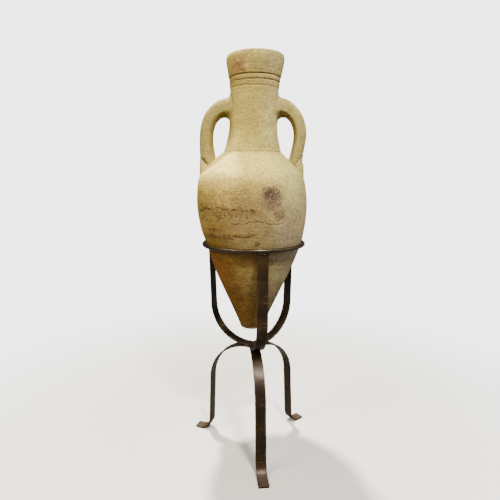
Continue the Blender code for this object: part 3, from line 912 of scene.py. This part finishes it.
iron = {
    "barWidth": 0.03,
    "barThickness": 0.005,
    "edge": 0.0014,
    "ringRadius": 0.14,
    "ringBar": 0.006,
    "ringHeight": 0.6167,
    "ringSteps": 256,
    "ringSides": 28,
    "hubHeight": 0.309,
    "gap": 0.0003,
    "tip": 0.0006,  # the blunt point of a bar in the hub
    "mitre": math.tan(math.radians(58)),
    "hammer": 0.00022,
    "row": 0.002,   # between rows of points along a bar
}
bars = {
    "front": {"cradleTurn": -79.8, "legTurn": -82.4, "legReach": 0.1424, "footReach": 0.208},
    "right": {"cradleTurn": 38.6, "legTurn": 39.2, "legReach": 0.1388, "footReach": 0.1985},
    "left": {"cradleTurn": 156.0, "legTurn": 158.2, "legReach": 0.1388, "footReach": 0.1985},
}
bends = {
    "cradle": 0.115,
    "cradleReach": 0.1331,
    "cradleTop": 0.1385,
    "leg": 0.122,
    "foot": 0.038,
    "flare": 0.0061,
    "steps": 48,
    "footSteps": 20,
}
ironColours = {
    "blotch": tone(64, 42, 24),
    "rubbedAndLit": tone(92, 80, 66),
    "scratch": tone(112, 92, 66),
    "browned": tone(66, 46, 20),
    "dust": tone(88, 72, 60),
}


def ironMaterial(name, base, rough, worn):
    material, nodes, shader = newMaterial(name)
    place = objectPlace(nodes)
    cloud = nodes.noise(place, 24.0, 5.0, 0.6)
    scale = nodes.noise(place, 150.0, 4.0, 0.65)
    grain = nodes.noise(place, 900.0, 2.0, 0.6)
    strokes = nodes.noise(nodes.stretch(place, (260, 260, 18)), 1.0, 3.0, 0.6)
    dust = nodes.layer("dust")
    colour = nodes.ramp(cloud, [(at, tone(*[min(255, c * light) for c in base]))
                                for at, light in ((0.32, 0.72), (0.52, 1.0), (0.72, 1.35))])
    colour = nodes.mix(nodes.times(nodes.band(scale, 0.55, 0.75), 0.3), colour, ironColours["blotch"])
    # rubbed wear on the bars' edges; on the ring the same mix is painted light on its top
    rubAndTopLight = nodes.times(nodes.layer("edge"), nodes.band(strokes, 0.38, 0.62), clamp=True)
    colour = nodes.mix(nodes.times(rubAndTopLight, worn), colour, ironColours["rubbedAndLit"])
    # scratches across the bars, and the browned top of the stand
    scratch = nodes.band(nodes.noise(nodes.stretch(place, (26, 26, 420)), 1.0, 2.0, 0.5), 0.6, 0.66)
    scratch = nodes.times(scratch, nodes.band(cloud, 0.46, 0.58))
    colour = nodes.mix(nodes.times(scratch, 0.7), colour, ironColours["scratch"])
    browned = nodes.times(nodes.band(nodes.axes(place)[2], 0.52, 0.6), nodes.band(cloud, 0.36, 0.56))
    colour = nodes.mix(nodes.times(browned, 0.45), colour, ironColours["browned"])
    colour = nodes.mix(nodes.times(dust, nodes.band(scale, 0.26, 0.6)), colour, ironColours["dust"])
    nodes.put(shader.inputs["Base Color"], colour)
    for socket, value in (("Metallic", 0.45), ("Coat Weight", 0.12), ("Coat Roughness", 0.3)):
        shader.inputs[socket].default_value = value
    rough = nodes.plus(nodes.plus(nodes.times(scale, 0.26), rough), nodes.times(dust, 0.25))
    nodes.put(shader.inputs["Roughness"], rough)
    nodes.put(shader.inputs["Normal"], nodes.relief(0.5, 0.0009, (cloud, 0.9), (scale, 0.6), (grain, 0.18)))
    return material


def arc(centre, radius, first, last, steps):
    turns = [math.radians(first + (last - first) * i / steps) for i in range(steps + 1)]
    return [(centre[0] + radius * math.cos(a), centre[1] + radius * math.sin(a)) for a in turns]


def cradleLine():
    height = iron["hubHeight"] + iron["barThickness"] / 2 + iron["gap"] / 2
    top = (bends["cradleTop"], iron["ringHeight"] - iron["ringBar"] - iron["gap"])
    middle = (bends["cradleReach"] - bends["cradle"], height + bends["cradle"])
    bend = arc(middle, bends["cradle"], -90, 0, bends["steps"])
    return [(iron["gap"] + iron["tip"], height)] + bend + [top]


def legLine(bar):
    height = iron["hubHeight"] - iron["barThickness"] / 2 - iron["gap"] / 2
    floor = iron["barThickness"] / 2
    reach = bar["legReach"]
    ankle = reach + bends["flare"] + bends["foot"]
    knee = arc((reach - bends["leg"], height - bends["leg"]), bends["leg"], 90, 0, bends["steps"])
    foot = arc((ankle, floor + bends["foot"]), bends["foot"], 180, 270, bends["footSteps"])
    return [(iron["gap"] + iron["tip"], height)] + knee + foot + [(bar["footReach"], floor)]


def barSection():
    # corner, and step round it, for each point of a flat section with soft edges
    section = []
    for cx, cz, first in ((1, 1, 0), (-1, 1, 90), (-1, -1, 180), (1, -1, 270)):
        for i in range(5):
            a = math.radians(first + 22.5 * i)
            section.append((cx, cz, math.cos(a), math.sin(a)))
        if first in (0, 180):
            way = math.sin(math.radians(first + 90))
            section += [(cx * f, cz, 0.0, way) for f in (0.66, 0.33, 0.0, -0.33, -0.66)]
    return section


def flatBar(name, line, turn, material, node, seed):
    # a flat bar with rounded edges, its faces a little uneven from the hammer
    line = evenLine(line, iron["row"])
    width = iron["barWidth"] / 2
    shoulder = width / iron["mitre"] + iron["gap"]  # where the mitred point reaches full width
    mitred = [(iron["gap"] + iron["tip"] + (shoulder - iron["gap"]) * i / 6, line[0, 1]) for i in range(7)]
    line = np.vstack([mitred, line[line[:, 0] > shoulder + 0.001]])
    out = -lineNormals(line)
    rings = []
    for i, (reach, height) in enumerate(line):
        half = min(width, (reach - iron["gap"]) * iron["mitre"])
        soft = min(iron["edge"], half * 0.45)
        last = len(line) - 1 - i
        trim = 1 - 0.1 * max(0.0, 1 - last / 1.5)  # the cut end is dressed
        thick = iron["barThickness"] / 2 * (1 - 0.12 * (last == 0))
        ring = []
        for cx, cz, dx, dz in barSection():
            across = cx * (half * trim - soft) + dx * soft
            up = cz * (thick - soft) + dz * soft
            ring.append((reach + out[i, 0] * up, across, height + out[i, 1] * up))
        rings.append(ring)
    mesh = skin(name, rings)
    points = getPoints(mesh)
    normals = getNormals(mesh)
    uneven = softNoise(points + seed, 42, seed) + softNoise(points + seed, 130, seed) * 0.5
    uneven *= iron["hammer"] * np.clip((points[:, 2] - 0.0006) / 0.004, 0, 1)
    flatBottom = points[:, 2] < 0.0012
    points = points + normals * uneven[:, None]
    points[flatBottom, 2] = np.maximum(points[flatBottom, 2], 0.0)
    setPoints(mesh, points)
    paint(mesh, "edge", np.clip((np.abs(points[:, 1]) - (width - 0.0024)) / 0.0018, 0, 1))
    paint(mesh, "dust", np.clip((0.016 - points[:, 2]) / 0.012, 0, 1) * np.clip(normals[:, 2], 0, 1))
    mesh.transform(Matrix.Rotation(math.radians(turn), 4, "Z"))
    return addPiece(name, mesh, material, "stand", [node], 40)


def bendRing():
    # round bar bent until its ends meet
    section = arc((iron["ringRadius"], iron["ringHeight"]), iron["ringBar"], 0, 360, iron["ringSides"])[:-1]
    turns = [2 * math.pi * k / iron["ringSteps"] for k in range(iron["ringSteps"])]
    rows = [[(r * math.cos(a), r * math.sin(a), h) for r, h in section] for a in turns]
    mesh = skin("ring", rows + [rows[0]], False, False)
    points = getPoints(mesh)
    normals = getNormals(mesh)
    setPoints(mesh, points - normals * (np.abs(softNoise(points, 55, 21)) * iron["hammer"])[:, None])
    # painted light on the ring's top: the more it faces up, the lighter
    paint(mesh, "edge", np.clip(normals[:, 2] * 0.6 + 0.1, 0, 1))
    paint(mesh, "dust", np.zeros(len(points)))
    return addPiece("standRing", mesh, ironRing, "stand", ["ring"], 60)


print("bending the stand")
ironRing = ironMaterial("waxedIronRing", (50, 40, 24), 0.24, 0.7)
ironBar = ironMaterial("waxedIronBar", (50, 36, 17), 0.32, 0.6)
ironWeld = ironMaterial("weldIron", (44, 34, 22), 0.42, 0.4)
bendRing()
for index, (side, bar) in enumerate(bars.items()):
    cradleName, legName = "cradleBar" + side.title(), "legBar" + side.title()
    flatBar(cradleName, cradleLine(), bar["cradleTurn"], ironBar, "cradle_bar_" + side, index + 1)
    flatBar(legName, legLine(bar), bar["legTurn"], ironBar, "leg_bar_" + side, index + 5)


# welds

weld = {
    "length": 0.026,
    "points": 12,
    "ripplePitch": 0.0016,
    "flatten": 0.62,
    "ringBead": 0.0015,   # radius
    "hubBead": 0.0021,
    "ringOffset": 0.004,
    "ringBelow": 0.0072,
    "hubReach": 0.0322,
}


def beadTree():
    # a weld bead: ripples of cooled metal laid one over the next along a line
    tree, nodes, given = newTree("weldBead", "Line", [
        ("Pitch", "Float", 0.0016), ("Radius", "Float", 0.0015), ("Flatten", "Float", 0.6),
        ("Seed", "Int", 2)], "Metal", "Bead")
    line = nodes.add("GeometryNodeMeshToCurve", {"Mesh": given["Line"]}).outputs[0]
    points = nodes.add("GeometryNodeCurveToPoints", {"Curve": line, "Length": given["Pitch"]}, mode="LENGTH")
    ripple = nodes.add("GeometryNodeMeshUVSphere", {"Segments": 14, "Rings": 8, "Radius": given["Radius"]})
    size = nodes.add("FunctionNodeRandomValue", {2: 0.84, 3: 1.0, "Seed": given["Seed"]}, data_type="FLOAT")
    size = size.outputs[1]
    scale = nodes.joined(size, size, nodes.times(size, given["Flatten"]))
    laid = nodes.add("GeometryNodeInstanceOnPoints", {
        "Points": points.outputs["Points"], "Instance": ripple.outputs["Mesh"],
        "Rotation": points.outputs["Rotation"], "Scale": scale})
    endTree(nodes, laid.outputs[0], given["Metal"])
    return tree


def layBead(name, node, place, turn, seed, radius):
    half = weld["length"] / 2
    path = [(place[0], half * t, place[1]) for t in np.linspace(-1, 1, weld["points"])]
    mesh = runTree(name, path, beads, {"Pitch": weld["ripplePitch"], "Radius": radius, "Seed": seed,
                                       "Flatten": weld["flatten"], "Metal": ironWeld})
    count = len(mesh.vertices)
    paint(mesh, "edge", np.full(count, 0.4))
    paint(mesh, "dust", np.zeros(count))
    mesh.transform(Matrix.Rotation(math.radians(turn), 4, "Z"))
    return addPiece(name, mesh, ironWeld, "stand", [node], 60)


print("laying the welds")
beads = beadTree()
underRing = (bends["cradleTop"] + weld["ringOffset"], iron["ringHeight"] - weld["ringBelow"])
besideHub = (weld["hubReach"], iron["hubHeight"])
for index, (side, bar) in enumerate(bars.items()):
    ringName, hubName = "ringWeld" + side.title(), "hubWeld" + side.title()
    hubTurn = (bar["cradleTurn"] + bar["legTurn"]) / 2
    layBead(ringName, "ring_weld_" + side, underRing, bar["cradleTurn"], index + 1, weld["ringBead"])
    layBead(hubName, "hub_weld_" + side, besideHub, hubTurn, index + 9, weld["hubBead"])


# floor, camera and light

print("setting the studio")
studio = {
    "paleness": 4.0,  # of floor and room, as the camera sees them
    "fill": 0.12,     # light that the room throws
    "bounce": 0.12,   # floor colour, as the object sees it
    "sweepStart": 0.35,
    "sweepEnd": 1.5,
    "size": 30,
}
white = (1.0, 1.0, 1.0, 1.0)
corners = [(x * studio["size"], y * studio["size"], 0) for x, y in ((-1, -1), (1, -1), (1, 1), (-1, 1))]
floorMesh = bpy.data.meshes.new("studioFloor")
floorMesh.from_pydata(corners, [], [(0, 1, 2, 3)])
floor = bpy.data.objects.new("studioFloor", floorMesh)
bpy.context.scene.collection.objects.link(floor)
floorMaterial, nodes, shader = newMaterial("paleFloor")
seen = nodes.add("ShaderNodeLightPath").outputs["Is Camera Ray"]
floorColour = nodes.mix(seen, (studio["bounce"],) * 3 + (1.0,), (0.86, 0.86, 0.85, 1.0))
nodes.put(shader.inputs["Base Color"], floorColour)
shader.inputs["Roughness"].default_value = 0.9
# away from the object the floor sweeps into the pale room
away = nodes.length(objectPlace(nodes))
sweep = nodes.times(nodes.band(away, studio["sweepStart"], studio["sweepEnd"]), seen)
glow = nodes.add("ShaderNodeEmission", {"Color": white, "Strength": studio["paleness"]})
blend = nodes.add("ShaderNodeMixShader", {0: sweep, 1: shader.outputs[0], 2: glow.outputs[0]})
nodes.put(floorMaterial.node_tree.nodes["Material Output"].inputs["Surface"], blend.outputs[0])
floorMesh.materials.append(floorMaterial)

view = {
    "place": (0.0065, -1.1506, 0.799),
    "down": 9.4,
    "left": 0.835,
    "roll": -0.19,
    "lens": 29.29,
    "shiftUp": -0.0087,
}
camera = bpy.data.objects.new("studioCamera", bpy.data.cameras.new("studioCamera"))
bpy.context.scene.collection.objects.link(camera)
camera.data.lens = view["lens"]
camera.data.shift_y = view["shiftUp"]
camera.location = Vector(view["place"]) + standAxis
turning = Matrix.Identity(3)
for angle, axis in ((view["left"], "Z"), (90 - view["down"], "X"), (view["roll"], "Z")):
    turning = turning @ Matrix.Rotation(math.radians(angle), 3, axis)
camera.rotation_euler = turning.to_euler()
bpy.context.scene.camera = camera

lamps = [  # name, turn from the front, height angle, distance, width, power, colour
    ("overBack", -155, 73, 2.2, 0.14, 185, (1.0, 0.94, 0.78)),
    ("key", 22, 51, 1.9, 0.22, 66, (1.0, 0.94, 0.84)),
    ("warmLeft", -58, 34, 2.2, 0.9, 48, (1.0, 0.86, 0.62)),
    ("coolRight", 80, 22, 2.4, 1.2, 16, (0.94, 0.96, 1.0)),
]
aim = Vector((standAxis.x, standAxis.y, 0.72))
for name, turn, rise, away, width, power, colour in lamps:
    light = bpy.data.lights.new(name, "AREA")
    light.size = width
    light.energy = power
    light.color = colour
    holder = bpy.data.objects.new(name, light)
    bpy.context.scene.collection.objects.link(holder)
    turn, rise = math.radians(turn), math.radians(rise)
    offset = Vector((math.sin(turn) * math.cos(rise), -math.cos(turn) * math.cos(rise), math.sin(rise)))
    holder.location = aim + offset * away
    holder.rotation_euler = (-offset).to_track_quat("-Z", "Y").to_euler()

# the room shows pale, but throws little light, so that the lamps shape the pot
room = bpy.data.worlds.new("paleRoom")
room.use_nodes = True
nodes = Nodes(room.node_tree)
seen = nodes.add("ShaderNodeLightPath").outputs["Is Camera Ray"]
background = room.node_tree.nodes["Background"]
shown = nodes.plus(nodes.times(seen, studio["paleness"] - studio["fill"]), studio["fill"])
nodes.put(background.inputs["Strength"], shown)
background.inputs["Color"].default_value = white
bpy.context.scene.world = room
